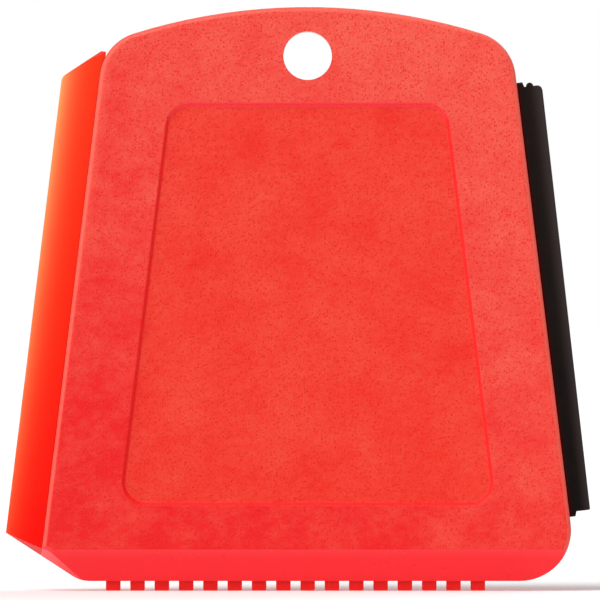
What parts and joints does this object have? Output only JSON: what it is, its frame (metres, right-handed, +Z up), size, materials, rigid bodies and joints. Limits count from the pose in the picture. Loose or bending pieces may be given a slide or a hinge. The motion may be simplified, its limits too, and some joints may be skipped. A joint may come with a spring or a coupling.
{
  "type": "handheld ice scraper with squeegee",
  "caption": "Flat palm-size scraper: wedge scraping blade on one side, flexible rubber squeegee lip on the other, comb teeth along the base and a hang hole at the top.",
  "frame": {"origin": "centre of the hang hole, in the plane where the two half shells meet", "axes": "+X towards the squeegee side, +Y out of the back face, +Z up from the comb teeth to the hang hole"},
  "size_m": [0.1202, 0.012, 0.12],
  "materials": {
    "shell": "fine matt grain, opaque red",
    "blade": "smooth, slightly see-through orange red",
    "comb": "smooth deep red",
    "rubber": "soft black rubber"
  },
  "bodies": {
    "scraper_body": {"front_shell": "shell", "rear_shell": "shell", "scraper_blade": "blade", "tooth_comb": "comb", "squeegee_base": "rubber"},
    "lip": {"squeegee_lip": "rubber"}
  },
  "joints": [
    {"name": "lip_flex", "type": "hinge", "parent": "scraper_body", "child": "lip", "pos_m": [0.04999, 0, -0.05001], "axis": [-0.1219, 0, 0.9925], "range_deg": [-35, 35], "stiffness_Nm_per_rad": 0.03}
  ]
}
